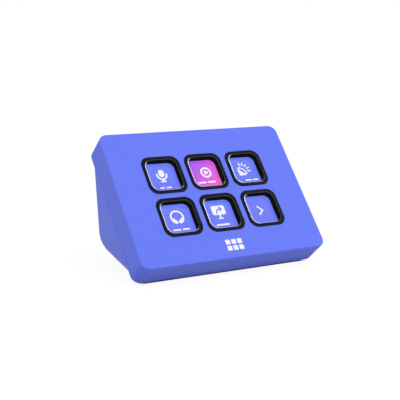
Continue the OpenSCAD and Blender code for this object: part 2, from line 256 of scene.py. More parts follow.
def ribbon(path: Array, half_width: Array, bottom: float = 0.0, top: float = INK) -> Surface:
    """A flat closed strip: a rectangle carried along a path, as wide as told at each point.

    At each point of the path the strip reaches half_width to both sides along the path's
    normal, which is its tangent turned by a quarter.

    Args:
        path: rows of (u, v).
        half_width: half the strip's width at each row.
        bottom: height of the strip's underside.
        top: height of its upper side.

    Returns:
        The closed surface in the face's frame, in millimetres.
    """
    closed = bool(np.allclose(path[0], path[-1]))
    if closed:
        path, half_width = path[:-1], half_width[:-1]
        tangent = np.roll(path, -1, axis=0) - np.roll(path, 1, axis=0)
    else:
        tangent = np.gradient(path, axis=0)
    tangent = unit(tangent)
    normal = np.stack([-tangent[:, 1], tangent[:, 0]], axis=1) * half_width[:, None]
    left, right = path + normal, path - normal
    low, high = np.full((len(path), 1), bottom), np.full((len(path), 1), top)
    section = np.stack([np.hstack([right, low]), np.hstack([left, low]),
                        np.hstack([left, high]), np.hstack([right, high])], axis=1)
    faces = grid_faces(len(path), 4, closed, True)
    return welded(section.reshape(-1, 3), faces)


def stroke(path: Array, width: float, bottom: float = 0.0, top: float = INK) -> Surface:
    """A strip with round ends along an open path.

    The path is carried on by half the width at both ends, where the half width falls as a
    circle does: the root of the radius squared less the distance past the end squared.

    Args:
        path: rows of (u, v).
        width: width of the strip.
        bottom: height of the strip's underside.
        top: height of its upper side.

    Returns:
        The closed surface in the face's frame, in millimetres.
    """
    r = width / 2
    past = r * np.sin(np.linspace(0, np.pi / 2, 7))[1:]
    first = path[0] - path[1]
    last = path[-1] - path[-2]
    head = path[0] + past[::-1, None] * first / np.linalg.norm(first)
    tail = path[-1] + past[:, None] * last / np.linalg.norm(last)
    fall = np.sqrt(np.maximum(r * r - past * past, 0))
    half = np.concatenate([fall[::-1], np.full(len(path), r), fall])
    return ribbon(np.vstack([head, path, tail]), half, bottom, top)


def line(start: Pair | Array, end: Pair | Array, steps: int = 6) -> Array:
    """Points along a straight line between two points."""
    t = np.linspace(0, 1, steps)[:, None]
    return np.array(start) * (1 - t) + np.array(end) * t


def arc_path(middle: Pair, radius: float, start: float, end: float, steps: int = 28) -> Array:
    """Points along a circular arc between two angles in degrees."""
    a = np.radians(np.linspace(start, end, steps))
    return np.array(middle) + radius * np.stack([np.cos(a), np.sin(a)], axis=1)


def patch(outline: Array, bottom: float = 0.0, top: float = INK) -> Surface:
    """A flat closed plate with the outline given, which its middle sees whole.

    The outline is drawn in towards its middle in rings: middle + t * (outline - middle).

    Args:
        outline: rows of (u, v), counter-clockwise and without a repeat at the end.
        bottom: height of the plate's underside.
        top: height of its upper side.

    Returns:
        The closed surface in the face's frame, in millimetres.
    """
    middle = outline.mean(axis=0)
    shrink = np.array([0.0, 0.5, 1.0, 1.0, 0.5, 0.0])
    height = np.array([top, top, top, bottom, bottom, bottom])
    rings = middle + shrink[:, None, None] * (outline - middle)[None]
    points = np.dstack([rings, np.repeat(height[:, None], len(outline), axis=1)])
    faces = grid_faces(len(shrink), len(outline), False, True)
    return welded(points.reshape(-1, 3), faces[:, ::-1])


def rounded_corners(corners: list[Pair], radius: float) -> Array:
    """Outline of a convex polygon with its corners rounded by circles of one radius.

    Each circle's middle lies on the corner's bisector at radius / sin(half the corner's angle).

    Args:
        corners: the polygon's corners, counter-clockwise.
        radius: radius of the corners.

    Returns:
        Rows of (u, v).
    """
    steps = 6
    p = np.array(corners, float)
    before, after = unit(np.roll(p, 1, axis=0) - p), unit(np.roll(p, -1, axis=0) - p)
    half_angle = np.arccos(np.clip((before * after).sum(axis=1), -1, 1)) / 2
    middle = p + unit(before + after) * (radius / np.sin(half_angle))[:, None]
    start = np.arctan2(before[:, 0], -before[:, 1])
    sweep = np.pi - 2 * half_angle
    turn = start[:, None] + sweep[:, None] * np.linspace(0, 1, steps + 1)[None]
    ring = middle[:, None, :] + radius * np.dstack([np.cos(turn), np.sin(turn)])
    return ring.reshape(-1, 2)


def add_piece(name: str, surface: Surface, body: str, materials: list[Material],
              in_face: bool = True, smooth: float = 35.0) -> bpy.types.Object:
    """Makes an object from a surface and lets it ride on a body.

    Args:
        name: name of the piece.
        surface: its points and faces.
        body: the CAD body that it moves with.
        materials: materials for the face marks 0, 1 and so on.
        in_face: whether the points are in the face's frame, and not in the part's.
        smooth: edges sharper than this many degrees stay sharp.

    Returns:
        The new object.
    """
    mesh = bpy.data.meshes.new(name)
    points = FACE.place(surface.points) if in_face else surface.points * MM
    mesh.from_pydata(points.tolist(), [], surface.faces)
    mesh.update()
    for material in materials:
        mesh.materials.append(material)
    mesh.polygons.foreach_set("material_index", np.array(surface.all_marks(), np.int32))
    mesh.shade_smooth()
    mesh.set_sharp_from_angle(angle=math.radians(smooth))
    piece = bpy.data.objects.new(name, mesh)
    bpy.context.scene.collection.objects.link(piece)
    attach(piece, body)
    LOG.info("%s: %d faces on %s", name, len(surface.faces), body)
    return piece


# ---- Finishes ----


class Nodes:
    """A short way to write the nodes of a material or of the world."""

    def __init__(self, name: str, world: bool = False) -> None:
        """Starts with no node but the output.

        Args:
            name: name of the material or the world.
            world: whether the nodes are a world's.
        """
        new = bpy.data.worlds.new if world else bpy.data.materials.new
        self.owner = new(name if world else f"finish_{name}")
        self.owner.use_nodes = True
        self.tree = self.owner.node_tree
        self.tree.nodes.clear()
        self.output = self.add("OutputWorld" if world else "OutputMaterial")

    def add(self, kind: str, inputs: dict[str | int, object] | None = None,
            **settings: object) -> Node:
        """Adds a node.

        Args:
            kind: the node's type, without the words ShaderNode.
            inputs: a value, or the output that feeds it, for inputs by name or number.
            **settings: properties of the node.

        Returns:
            The node.
        """
        node = self.tree.nodes.new("ShaderNode" + kind)
        for key, value in settings.items():
            setattr(node, key, value)
        for key, value in (inputs or {}).items():
            if isinstance(value, Socket):
                self.tree.links.new(value, node.inputs[key])
            else:
                node.inputs[key].default_value = value
        return node

    def place(self) -> Socket:
        """The point in the piece's own coordinates, in metres."""
        return self.add("TexCoord").outputs["Object"]

    def noise(self, size: float, detail: float, place: Socket, rough: float = 0.55) -> Socket:
        """Noise whose grains are about `size` metres across, from 0 to 1."""
        return self.add("TexNoise", {"Vector": place, "Scale": 1 / size, "Detail": detail,
                                     "Roughness": rough}).outputs["Fac"]

    def ranged(self, source: Socket, low: float, high: float, from_low: float = 0.3,
               from_high: float = 0.7) -> Socket:
        """The source stretched from one range of values to another."""
        return self.add("MapRange", {"Value": source, "From Min": from_low, "From Max": from_high,
                                     "To Min": low, "To Max": high}).outputs["Result"]

    def mixed(self, factor: Socket, first: Triple, second: Triple) -> Socket:
        """A colour between two by a factor; a Mix node's colours are its inputs 6 and 7."""
        return self.add("Mix", {"Factor": factor, 6: (*first, 1), 7: (*second, 1)},
                        data_type="RGBA").outputs[2]

    def between(self, factor: Socket, first: Socket | float, second: Socket | float) -> Socket:
        """A number between two by a factor; a Mix node's numbers are its inputs 2 and 3."""
        return self.add("Mix", {"Factor": factor, 2: first, 3: second}).outputs[0]

    def bumped(self, height: Socket, strength: float, distance: float) -> Socket:
        """A normal bent by a height, `distance` metres for a height of 1."""
        return self.add("Bump", {"Height": height, "Strength": strength,
                                 "Distance": distance}).outputs["Normal"]

    def combined(self, operation: str, *sources: Socket) -> Socket:
        """Numbers put together by an operation of the Math node, one after the other."""
        return reduce(lambda one, other: self.add("Math", {0: one, 1: other},
                                                  operation=operation).outputs[0], sources)

    def blended(self, factor: Socket, first: Node, second: Node) -> Node:
        """A shader between two by a factor."""
        return self.add("MixShader", {0: factor, 1: first.outputs[0], 2: second.outputs[0]})

    def finish(self, shader: Node) -> Material | bpy.types.World:
        """Ends the material or the world with that shader."""
        self.tree.links.new(shader.outputs[0], self.output.inputs["Surface"])
        return self.owner

    def principled(self, inputs: dict[str | int, object]) -> Material:
        """Ends the material with a Principled shader."""
        return self.finish(self.add("BsdfPrincipled", inputs))


def scaled(color: Triple, factor: float) -> Triple:
    """A colour made darker or lighter by a factor."""
    return tuple(c * factor for c in color)


@dataclass(frozen=True)
class MouldedPlastic:
    """Opaque moulded plastic with a fine spark-eroded texture."""

    name: str
    color: Triple
    roughness: float = 0.55
    grain: float = 0.00016
    depth: float = 0.00001
    variation: float = 0.03
    specular: float = 0.4
    spread: float = 0.06
    cloud: float = 0.012
    bump: float = 0.5

    def material(self) -> Material:
        """Noise in the tool's texture bends the normal and varies the gloss and the colour.

        Returns:
            The material.
        """
        n = Nodes(self.name)
        place = n.place()
        grain = n.noise(self.grain, 3.0, place)
        cloud = n.ranged(n.noise(self.cloud, 2.0, place), 0, 1)
        return n.principled({
            "Base Color": n.mixed(cloud, self.color, scaled(self.color, 1 - self.variation)),
            "Roughness": n.ranged(grain, self.roughness - self.spread,
                                  self.roughness + self.spread),
            "Specular IOR Level": self.specular,
            "Normal": n.bumped(grain, self.bump, self.depth),
        })


@dataclass(frozen=True)
class ClearPlastic:
    """Polished clear plastic."""

    name: str
    tint: Triple = (0.97, 0.98, 1.0)
    ior: float = 1.49
    roughness: float = 0.0
    mirror: float = 0.0
    spread: float = 0.02
    wave: float = 0.006

    def material(self) -> Material:
        """A clear shader whose polish varies with faint moulding waves, part of it a mirror.

        Returns:
            The material.
        """
        n = Nodes(self.name)
        wave = n.noise(self.wave, 1.0, n.place())
        return n.principled({
            "Base Color": (*self.tint, 1),
            "Metallic": self.mirror,
            "Roughness": n.ranged(wave, self.roughness, self.roughness + self.spread),
            "IOR": self.ior,
            "Transmission Weight": 1.0,
        })


@dataclass(frozen=True)
class SoftRubber:
    """Rubber or silicone with a soft dusty sheen."""

    name: str
    color: Triple
    roughness: float = 0.8
    grain: float = 0.0004
    spread: float = 0.08
    lighter: float = 1.5
    dust: float = 0.002
    bump: float = 0.4
    depth: float = 0.00003

    def material(self) -> Material:
        """Coarse noise bends the normal, and a weak sheen lightens grazing views.

        Returns:
            The material.
        """
        n = Nodes(self.name)
        grain = n.noise(self.grain, 4.0, n.place())
        light = tuple(c * self.lighter + self.dust for c in self.color)
        return n.principled({
            "Base Color": n.mixed(n.ranged(grain, 0, 1), self.color, light),
            "Roughness": n.ranged(grain, self.roughness - self.spread,
                                  self.roughness + self.spread),
            "Specular IOR Level": 0.25,
            "Sheen Weight": 0.08,
            "Sheen Roughness": 0.5,
            "Normal": n.bumped(grain, self.bump, self.depth),
        })


@dataclass(frozen=True)
class PlatedMetal:
    """Drawn or plated metal with fine lines along one axis."""

    name: str
    color: Triple
    roughness: float = 0.3
    stretch: Triple = (1.0, 12.0, 12.0)
    lines: float = 0.0012
    darker: float = 0.82
    spread: Pair = (-0.08, 0.1)
    bump: float = 0.25
    depth: float = 0.00001

    def material(self) -> Material:
        """Stretched noise gives the drawing lines in the gloss and the normal.

        Returns:
            The material.
        """
        n = Nodes(self.name)
        mapping = n.add("Mapping", {"Vector": n.place(), "Scale": self.stretch})
        lines = n.noise(self.lines, 3.0, mapping.outputs["Vector"])
        low, high = (self.roughness + spread for spread in self.spread)
        return n.principled({
            "Base Color": n.mixed(n.ranged(lines, 0, 1), self.color,
                                  scaled(self.color, self.darker)),
            "Metallic": 1.0,
            "Roughness": n.ranged(lines, low, high),
            "Normal": n.bumped(lines, self.bump, self.depth),
        })


@dataclass(frozen=True)
class SolderMask:
    """Green lacquer over faint copper tracks."""

    name: str
    color: Triple = (0.01, 0.09, 0.04)
    roughness: Pair = (0.3, 0.45)
    cloud: float = 0.0008
    tracks: float = 220.0
    track_width: float = 0.06
    lighter: float = 1.8
    bump: float = 0.3
    depth: float = 0.00003

    def material(self) -> Material:
        """A lattice of tracks shows through the lacquer as a lighter, slightly raised pattern.

        Returns:
            The material.
        """
        n = Nodes(self.name)
        place = n.place()
        black, white = (0, 0, 0, 1), (1, 1, 1, 1)
        tracks = n.add("TexBrick", {"Vector": place, "Scale": self.tracks,
                                    "Mortar Size": self.track_width, "Color1": black,
                                    "Color2": black, "Mortar": white}).outputs["Fac"]
        return n.principled({
            "Base Color": n.mixed(tracks, self.color, scaled(self.color, self.lighter)),
            "Roughness": n.ranged(n.noise(self.cloud, 2.0, place), *self.roughness),
            "Coat Weight": 0.4,
            "Coat Roughness": 0.2,
            "Normal": n.bumped(tracks, self.bump, self.depth),
        })


@dataclass(frozen=True)
class ClearFilm:
    """Thin translucent film or light guide, drawn as a milky gloss."""

    name: str
    color: Triple
    roughness: float = 0.25
    spread: float = 0.1
    cloud: float = 0.003
    darker: float = 0.85

    def material(self) -> Material:
        """Gloss with a clouded colour.

        Returns:
            The material.
        """
        n = Nodes(self.name)
        cloud = n.noise(self.cloud, 3.0, n.place())
        return n.principled({
            "Base Color": n.mixed(n.ranged(cloud, 0, 1), self.color,
                                  scaled(self.color, self.darker)),
            "Roughness": n.ranged(cloud, self.roughness, self.roughness + self.spread),
            "Coat Weight": 0.3,
            "Coat Roughness": 0.15,
        })


@dataclass(frozen=True)
class PictureLight:
    """Light of a lit picture: colours that turn into each other along one direction."""

    name: str
    colors: tuple[Triple, ...]
    middle: Pair
    across: Pair = (0.0, -1.0)
    reach: float = 14.0

    def material(self) -> Material:
        """The colours follow each other at equal steps along `across`, over the reach.

        The factor is the distance of a point from the middle along `across`, over the reach,
        plus a half. The point is read in the part's own coordinates.

        Returns:
            The material.
        """
        n = Nodes(self.name)
        u, v = np.array(self.across) / np.linalg.norm(self.across)
        along = FACE.direction(float(u), float(v), 0.0)
        offset = float(np.dot(FACE.spot(*self.middle, 0.0), along))
        half = self.reach * MM / 2
        dot = n.add("VectorMath", {0: n.place(), 1: along}, operation="DOT_PRODUCT")
        factor = n.ranged(dot.outputs["Value"], 0, 1, offset - half, offset + half)
        ramp = n.add("ValToRGB", {"Fac": factor})
        stops = ramp.color_ramp.elements
        for _ in self.colors[2:]:
            stops.new(0.5)
        for number, color in enumerate(self.colors):
            stops[number].position = number / (len(self.colors) - 1)
            stops[number].color = (*color, 1)
        return n.finish(n.add("Emission", {"Color": ramp.outputs["Color"], "Strength": 1.0}))


class Finish(Enum):
    """The finishes; those of CAD nodes are named as the record's material slots."""

    blue_shell = MouldedPlastic("blue_shell", (0.113, 0.181, 0.97), 0.6, variation=0.02,
                                specular=0.75)
    key_black = MouldedPlastic("key_black", (0.010, 0.0105, 0.021), 0.3, 0.0002, 0.000004,
                               0.2, 0.25)
    clear_key = ClearPlastic("clear_key")
    bright_edge = ClearPlastic("bright_edge", roughness=0.1, mirror=0.4)
    black_paint = MouldedPlastic("black_paint", (0.002, 0.002, 0.003), 0.8, specular=0.0)
    white_print = MouldedPlastic("white_print", (0.93, 0.93, 0.94), 0.5, variation=0.01)
    black_plastic = MouldedPlastic("black_plastic", (0.012, 0.013, 0.016), 0.5, variation=0.15)
    grey_silicone = SoftRubber("grey_silicone", (0.06, 0.065, 0.075), 0.7)
    green_board = SolderMask("green_board")
    gold_contacts = PlatedMetal("gold_contacts", (0.75, 0.5, 0.16), 0.25)
    panel_glass = MouldedPlastic("panel_glass", (0.003, 0.003, 0.005), 0.15, 0.002, 0.000001,
                                 0.2)
    light_guide = ClearFilm("light_guide", (0.8, 0.84, 0.9))
    pressed_steel = PlatedMetal("pressed_steel", (0.4, 0.41, 0.43), 0.35)
    amber_film = ClearFilm("amber_film", (0.48, 0.21, 0.04))
    black_rubber = SoftRubber("black_rubber", (0.01, 0.011, 0.013), 0.85)
    chip_black = MouldedPlastic("chip_black", (0.01, 0.01, 0.012), 0.6, 0.0001)
    bright_steel = PlatedMetal("bright_steel", (0.55, 0.56, 0.58), 0.22)
    screw_steel = PlatedMetal("screw_steel", (0.33, 0.34, 0.36), 0.32)

    @cache
    def made(self) -> Material:
        """This finish's material, made once."""
        return self.value.material()


def dress(node: str, finish: Finish) -> None:
    """Gives a CAD node its finish.

    Args:
        node: the node's name.
        finish: its finish.
    """
    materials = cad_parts[node].data.materials
    materials.clear()
    materials.append(finish.made())
    LOG.info("%s: %s", node, finish.name)


# ---- Shells ----


@dataclass
class Shells:
    """The blue cover and the blue stand, and the small printed mark under the keys."""

    mark_v: float = -24.5
    mark_pitch: float = 2.7
    mark_half: float = 1.05
    mark_radius: float = 0.35
    weld: float = 1e-7
    crease: float = 25.0

    def smooth_copy(self, node: str, name: str) -> None:
        """Replaces a CAD node by a merged copy, whose shallow edges are shaded smooth.

        Points closer than the weld distance are one: their coordinates are divided by it and
        rounded, and equal rows are merged. Faces that lose a corner by it are left out.

        Args:
            node: the CAD node.
            name: the new piece's name.
        """
        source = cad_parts[node].data
        points = np.empty(len(source.vertices) * 3, np.float32)
        source.vertices.foreach_get("co", points)
        corners = np.empty(len(source.loops), np.int32)
        source.loops.foreach_get("vertex_index", corners)
        points = points.reshape(-1, 3).astype(float)
        _, first, back = np.unique(np.round(points / self.weld).astype(np.int64), axis=0,
                                   return_index=True, return_inverse=True)
        faces = back.reshape(-1)[corners].reshape(-1, 3)
        kept = (faces != np.roll(faces, 1, axis=1)).all(axis=1)
        surface = Surface(points[first] / MM, faces[kept].tolist())
        blue = Finish.blue_shell
        piece = add_piece(name, surface, "case", [blue.made()], in_face=False,
                          smooth=self.crease)
        piece.modifiers.new("even_shading", "WEIGHTED_NORMAL").keep_sharp = True
        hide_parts(node)

    def build_mark(self) -> None:
        """Builds the mark: six white squares with round corners, set as the keys are."""
        outline = square_outline([self.mark_half], [self.mark_radius])[0]
        scale = self.mark_pitch / FACE.key_pitch
        squares = []
        for number in KEY_NUMBERS:
            u, v = FACE.key_middle(number)
            squares.append(patch(outline + np.array([u * scale, v * scale + self.mark_v])))
        add_piece("printed_mark", merged(squares), "case", [Finish.white_print.made()])

    def build(self) -> None:
        """Builds and dresses the shells."""
        dress("front_cover", Finish.blue_shell)
        self.smooth_copy("stand", "stand_shell")
        self.build_mark()


# ---- Signs, in millimetres about their own middles ----


def microphone() -> list[Surface]:
    """A pill in a cradle on a foot.

    Returns:
        The sign's parts.
    """
    pill, cradle, stem, foot = 2.6, 0.74, 0.66, 0.76
    return [
        stroke(line((0, 1.3), (0, 2.2)), pill),
        stroke(arc_path((0, 1.15), 2.2, 176, 364), cradle),
        stroke(line((0, -1.1), (0, -1.9)), stem),
        stroke(line((-0.9, -2.1), (0.9, -2.1)), foot),
    ]


def play() -> list[Surface]:
    """A triangle in a ring.

    Returns:
        The sign's parts.
    """
    radius, half_width, steps, corner = 2.15, 0.42, 49, 0.25
    return [
        ribbon(arc_path((0, 0), radius, 0, 360, steps), np.full(steps, half_width)),
        patch(rounded_corners([(-0.75, -1.25), (1.4, 0), (-0.75, 1.25)], corner)),
    ]


def popper() -> list[Surface]:
    """A cone with an open oval mouth, and five rays fanned out before it.

    The mouth is an oval about a point behind the middle, long to the side and short along
    the aim. The cone's half width falls evenly from the mouth to the tip.

    Returns:
        The sign's parts.
    """
    aim, fan, steps = math.radians(48), math.radians(27), 49
    mouth_back, mouth_long, mouth_short, mouth_half = 0.25, 2.2, 0.9, 0.3
    cone_back, tip_back, tip_width, wide, taper = 1.08, 2.9, 0.7, 2.4, 2.05
    ray_start, ray_end, ray_width = 2.55, 3.75, 0.6
    ahead = np.array([math.cos(aim), math.sin(aim)])
    beside = np.array([math.sin(aim), -math.cos(aim)])
    turn = np.radians(np.linspace(0, 360, steps))[:, None]
    mouth = (-mouth_back * ahead + mouth_long * np.cos(turn) * beside
             + mouth_short * np.sin(turn) * ahead)
    side = np.linspace(0, 1, 8)[:, None]
    tip = -tip_back * ahead
    cone = -cone_back * ahead * (1 - side) + tip * side
    parts = [ribbon(mouth, np.full(steps, mouth_half)),
             ribbon(cone, wide - taper * side[:, 0]),
             stroke(line(tip, tip - 0.01 * ahead), tip_width)]
    for number in range(-2, 3):
        turned = aim + fan * number
        ray = np.array([math.cos(turned), math.sin(turned)])
        parts.append(stroke(line(ray_start * ray, ray_end * ray), ray_width))
    return parts


def headphones() -> list[Surface]:
    """A band three quarters round, and a pad inside each of its ends.

    Returns:
        The sign's parts.
    """
    band, pad, pad_radius = 0.72, 1.6, 2.35
    return [
        stroke(arc_path((0, 0), 2.75, -50, 230, 48), band),
        stroke(arc_path((0, 0), pad_radius, 208, 246, 12), pad),
        stroke(arc_path((0, 0), pad_radius, -66, -28, 12), pad),
    ]


def screen() -> list[Surface]:
    """A screen on a foot.

    Returns:
        The sign's parts.
    """
    u, v, corner, stem, foot = 3.15, 2.15, 0.9, 0.7, 0.62
    return [
        patch(rounded_corners([(-u, -v), (u, -v), (u, v), (-u, v)], corner)),
        stroke(line((0, -2.1), (0, -3.6)), stem),
        stroke(line((-0.9, -3.85), (0.9, -3.85)), foot),
    ]


def chevron() -> list[Surface]:
    """An arrow head that points right: two strokes that meet in its tip."""
    return [stroke(line((-1.0, side * 1.9), (1.0, 0.0)), 0.7) for side in (1, -1)]


@dataclass(frozen=True)
class Layout:
    """A picture's sign, and where it and the dashes under it lie from the key's middle."""

    parts: Callable[[], list[Surface]]
    middle: Pair
    dashes: tuple[Pair, ...] = ()
    dash_v: float = 0.0


class Picture(Enum):
    """The pictures on the keys, from the top left."""

    MICROPHONE = Layout(microphone, (0.75, 0.95), ((-1.6, -0.2), (1.3, 2.9)), -4.3)
    PLAY = Layout(play, (1.7, 1.4), ((-3.3, -0.1), (1.4, 4.3)), -3.4)
    POPPER = Layout(popper, (0.0, 0.8), ((-0.1, 2.2), (3.5, 5.7)), -4.2)
    HEADPHONES = Layout(headphones, (0.78, 1.57), ((-2.5, 0.3), (1.8, 4.2)), -4.2)
    SCREEN = Layout(screen, (0.7, 2.7), ((-2.2, 3.2),), -4.15)
    NEXT = Layout(chevron, (0.95, 0.5))


# ---- Keys ----


@dataclass
class PictureKey:
    """One key: black rim, clear window, silicone ring, and the lit picture under it."""

    number: int
    window_half: float = 7.25
    window_radius: float = 3.25
    window_top: float = 0.3
    window_bottom: float = -4.05
    foot_half: float = 7.8
    foot_radius: float = 3.75
    foot_top: float = -3.55
    dish: float = 0.2
    lip_width: float = 0.4
    lip_crease: float = 0.03
    lip_slope: float = 15.0
    tile_half: float = 7.4
    tile_radius: float = 2.9
    tile_top: float = -5.11
    tile_thickness: float = 0.03
    print_gap: float = 0.005
    ring_half: float = 8.85
    ring_radius: float = 3.95
    ring_top: float = -2.65
    ring_bottom: float = -3.95
    ring_gap: float = 0.005
    ring_side: tuple[Pair, ...] = ((0.30, 0.0), (0.30, 0.2), (0.16, 0.32), (0.15, 0.65),
                                    (0.16, 0.95), (0.34, 1.02), (0.34, 1.29))
    blues: tuple[Triple, ...] = ((0.155, 0.222, 1.0), (0.155, 0.192, 0.97))
    pinks: tuple[Triple, ...] = ((0.36, 0.10, 0.90), (0.60, 0.10, 0.85), (0.85, 0.105, 0.78),
                                (0.76, 0.15, 0.50))
    whites: tuple[Triple, ...] = ((1.0, 1.0, 1.0), (0.93, 0.95, 1.0))
    light_middle: Pair = (1.8, 1.2)
    pink_across: Pair = (0.75, -0.65)
    pink_reach: float = 16.0
    dash_width: float = 0.8
    arrow_width: float = 0.55

    @property
    def body(self) -> str:
        """The CAD body of the moving key."""
        return f"key_{self.number}"

    @property
    def picture(self) -> Picture:
        """The key's picture."""
        return list(Picture)[self.number - 1]

    @property
    def middle(self) -> Pair:
        """Middle of the key on the face."""
        return FACE.key_middle(self.number)

    @property
    def print_level(self) -> float:
        """Height of the prints' undersides on the picture."""
        return self.tile_top + self.print_gap

    def middle_of(self, u: float, v: float) -> Pair:
        """The point of the face that is (u, v) from the key's middle."""
        return (self.middle[0] + u, self.middle[1] + v)

    def build_window(self) -> None:
        """Builds the window: a dished top inside a sloping lip, black sides and a seated foot.

        The dish is height = depth * ((distance from the middle / reach) squared - 1). Past its
        reach the lip rises at its own slope to the top's level, behind a narrow crease. An
        outline's radius keeps to its half width as the window's does. The marks 0, 1 and 2 are
        the clear faces, the painted sides and the bright lip.
        """
        slope = math.tan(math.radians(self.lip_slope))
        reach = self.window_half - self.lip_width
        start = self.window_top - self.lip_width * slope
        t = np.linspace(0.0, 1.0, 9)
        width = np.array([self.lip_crease, self.lip_width])
        half = np.concatenate([t * reach, reach + width])
        height = np.concatenate([start - self.dish * (1 - t * t), start + width * slope])
        top = np.stack([half, self.window_radius * half / self.window_half, height], axis=1)
        top[0, :2] = TINY
        side = np.array([
            [self.window_half, self.window_radius, self.foot_top],
            [self.foot_half, self.foot_radius, self.foot_top],
            [self.foot_half, self.foot_radius, self.window_bottom],
            [self.window_half, self.window_radius, self.window_bottom],
        ])
        profile = np.vstack([top, side, [[TINY, TINY, self.window_bottom]]])
        marks = np.repeat([0, 2, 1, 0], [len(t) - 1, len(width), len(side), 1])
        finishes = (Finish.clear_key, Finish.black_paint, Finish.bright_edge)
        piece = add_piece(f"key_lens_{self.number}", turned_block(profile, self.middle, marks),
                          self.body, [finish.made() for finish in finishes])
        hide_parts(f"key_window_{self.number}")

    def build_ring(self) -> None:
        """Builds the square silicone ring: a thin wall between two thick beads.

        Its section is the outer side's rows of (distance from the ring's line, depth), and the
        same rows mirrored for the inner side.
        """
        outer = np.array(self.ring_side)
        section = np.vstack([outer, outer[::-1] * (-1, 1)])
        profile = np.stack([self.ring_half + section[:, 0], self.ring_radius + section[:, 0],
                            self.ring_top - self.ring_gap - section[:, 1]], axis=1)
        surface = turned_block(profile, self.middle, closed=True)
        grey = Finish.grey_silicone
        piece = add_piece(f"dome_ring_{self.number}", surface, "case", [grey.made()])
        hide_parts(f"key_dome_{self.number}")
        FACE.direction(0, 0, 1)
        FACE.spot(*self.middle, self.ring_bottom)
        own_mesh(piece)

    def add_lit(self, kind: str, surface: Surface, light: PictureLight) -> None:
        """Adds a lit piece of the key's picture, which stays with the case."""
        add_piece(f"{kind}_{self.number}", surface, "case", [light.material()])

    def build_tile(self) -> None:
        """Builds the lit picture on the panel under the key."""
        name = f"picture_light_{self.number}"
        middle = self.middle_of(*self.light_middle)
        light = PictureLight(name, self.blues, middle)
        if self.picture is Picture.PLAY:
            light = PictureLight(name, self.pinks, middle, self.pink_across, self.pink_reach)
        outline = square_outline([self.tile_half], [self.tile_radius])[0]
        self.add_lit("picture", patch(outline + np.array(self.middle),
                                      self.tile_top - self.tile_thickness, self.tile_top), light)

    def build_sign(self) -> None:
        """Sets the white sign and its dashes on the picture."""
        layout = self.picture.value
        parts = [part.moved(*layout.middle, 0.0) for part in layout.parts()]
        parts += [stroke(line((start, layout.dash_v), (end, layout.dash_v)), self.dash_width)
                  for start, end in layout.dashes]
        self.add_lit("sign", merged(parts).moved(*self.middle, self.print_level),
                     PictureLight(f"sign_light_{self.number}", self.whites, self.middle))

    def build_arrow(self) -> None:
        """Sets a bent arrow in the picture's blue on the screen of the sign."""
        paths = [arc_path((0.8, -1.4), 1.95, 180, 92, 14), line((0.7, 0.55), (1.5, 0.55)),
                 line((0.7, 1.45), (1.6, 0.55)), line((0.7, -0.35), (1.6, 0.55))]
        whole = merged([stroke(path, self.arrow_width, INK, 2 * INK) for path in paths])
        middle = self.middle_of(*self.picture.value.middle)
        self.add_lit("arrow", whole.moved(*middle, self.print_level),
                     PictureLight(f"arrow_light_{self.number}", self.blues, self.middle))

    def build(self) -> None:
        """Builds and dresses the key."""
        dress(f"key_rim_{self.number}", Finish.key_black)
        self.build_window()
        self.build_ring()
        self.build_tile()
        self.build_sign()
        if self.picture is Picture.SCREEN:
            self.build_arrow()


# ---- Inner parts ----


@dataclass
class InnerParts:
    """Everything behind the cover and in the stand, with the nodes that each finish is for."""

    finishes: dict[Finish, tuple[str, ...]] = field(default_factory=lambda: {
        Finish.black_plastic: ("key_guide", "base_plate", "socket_tongue"),
        Finish.grey_silicone: ("silicone_sheet",),
        Finish.green_board: ("switch_board", "main_board"),
        Finish.gold_contacts: ("contact_pads",),
        Finish.panel_glass: ("picture_panel",),
        Finish.light_guide: ("back_light",),
        Finish.pressed_steel: ("panel_carrier",),
        Finish.amber_film: ("panel_cable",),
        Finish.black_rubber: ("foot_pad",),
        Finish.chip_black: ("board_chips",),
        Finish.bright_steel: ("cord_socket",),
        Finish.screw_steel: ("stack_screws", "base_screws", "board_screws"),
    })

    def build(self) -> None:
        """Dresses each node."""
        for finish, nodes in self.finishes.items():
            for node in nodes:
                dress(node, finish)


# ---- Studio ----


class Lit(Enum):
    """What a lamp is for: light on matt surfaces, or its own image in glossy ones."""

    MATT = 1
    GLOSS = 2


@dataclass(frozen=True)
class Lamp:
    """An area lamp: the direction from the part to it, its width and height, and its watts."""

    name: str
    direction: Triple
    size: Pair
    power: float
    lit: Lit


def add_facing(data: bpy.types.Camera | bpy.types.Light, place: Vector, way: Vector
               ) -> bpy.types.Object:
    """Adds a camera or a lamp that faces against a direction.

    Args:
        data: the camera or the lamp.
        place: where it stands.
        way: the direction from what it faces to it.

    Returns:
        The new object.
    """
    piece = bpy.data.objects.new(data.name, data)
    piece.location = place
    piece.rotation_mode = "QUATERNION"
    piece.rotation_quaternion = (-way).to_track_quat("-Z", "Y")
    bpy.context.scene.collection.objects.link(piece)
    return piece


